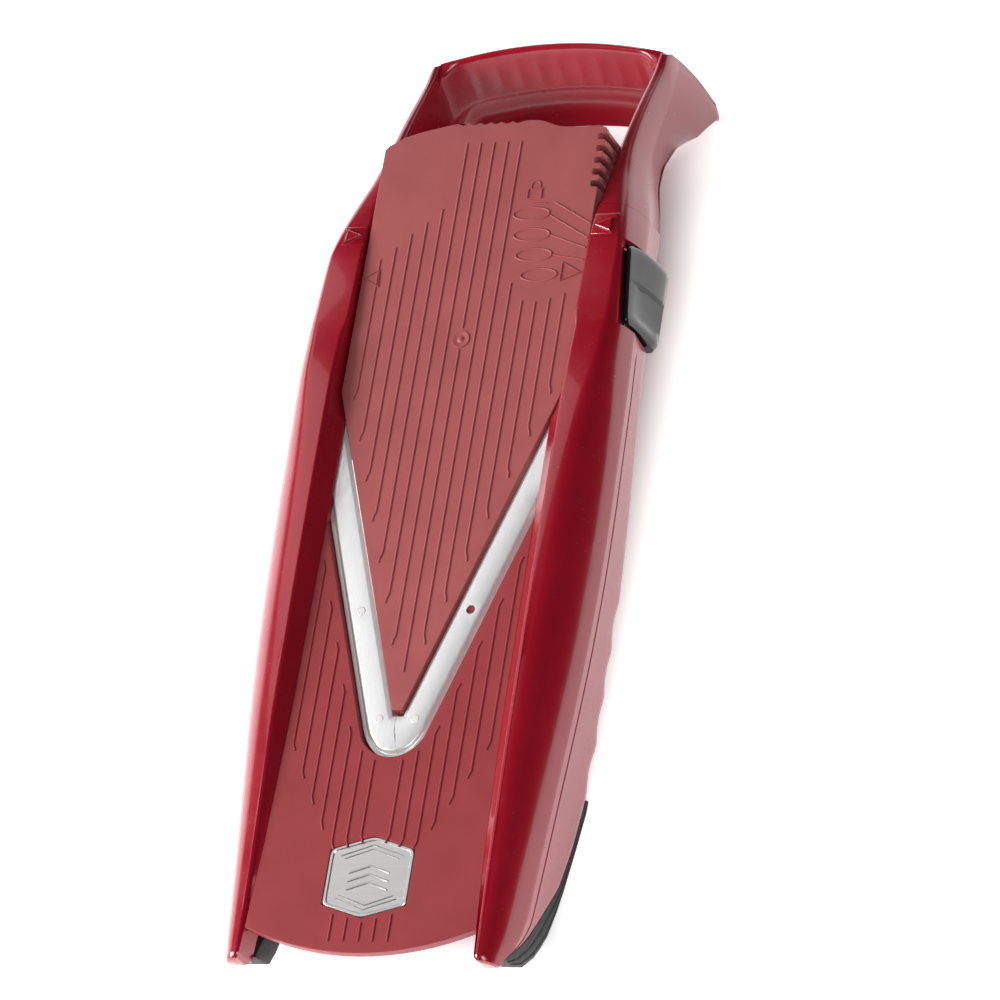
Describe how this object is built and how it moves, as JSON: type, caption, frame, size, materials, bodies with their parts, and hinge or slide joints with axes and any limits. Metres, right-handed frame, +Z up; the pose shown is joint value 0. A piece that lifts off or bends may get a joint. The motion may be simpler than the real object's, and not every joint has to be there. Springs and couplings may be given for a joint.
{
  "type": "mandoline slicer",
  "caption": "Long two-railed V-blade mandoline slicer with a sliding thickness runway, side release button, bent-back hand grip and rubber feet.",
  "frame": {"origin": "middle of the footprint on the table the slicer lies on", "axes": "+X across towards the release button, +Y along the slicer towards the hand grip, +Z up from the table; the slicing plate rises about 5 degrees towards +Y"},
  "size_m": [0.1366, 0.3934, 0.0676],
  "materials": {
    "frame_gloss": "glossy crimson moulded plastic",
    "runway_satin": "fine satin texture, dusty red",
    "blade_steel": "satin stainless steel",
    "badge_metal": "satin silver plate with raised lines",
    "pin_steel": "bright steel",
    "latch_plastic": "black moulded plastic",
    "button_gloss": "gloss black",
    "foot_rubber": "dark grey ribbed soft rubber"
  },
  "bodies": {
    "frame": {"left_rail": "frame_gloss", "right_rail": "frame_gloss", "left_skirt": "frame_gloss", "right_skirt": "frame_gloss", "left_arm": "frame_gloss", "right_arm": "frame_gloss", "hand_grip": "frame_gloss", "run_out_plate": "runway_satin", "left_guide": "frame_gloss", "right_guide": "frame_gloss", "left_blade": "blade_steel", "right_blade": "blade_steel", "blade_pins": "runway_satin", "badge": "badge_metal", "left_foot": "foot_rubber", "right_foot": "foot_rubber", "pivot_pin": "pin_steel", "latch_cover": "latch_plastic", "cover_screws": "pin_steel"},
    "insert": {"insert_plate": "runway_satin", "insert_ribs": "runway_satin", "left_runner": "runway_satin", "right_runner": "runway_satin", "insert_rack": "runway_satin"},
    "lever": {"release_button": "button_gloss", "latch_lever": "latch_plastic", "return_spring": "pin_steel"}
  },
  "joints": [
    {"name": "insert_slide", "type": "slide", "parent": "frame", "child": "insert", "axis": [0, 0.9551, -0.2963], "range_m": [0, 0.02165]},
    {"name": "latch_hinge", "type": "hinge", "parent": "frame", "child": "lever", "pos_m": [0.0539, 0.10076, 0.04545], "axis": [0, 0.0917, -0.9958], "range_deg": [-2.2, 1], "stiffness_Nm_per_rad": 1, "springref_deg": -2.18}
  ]
}
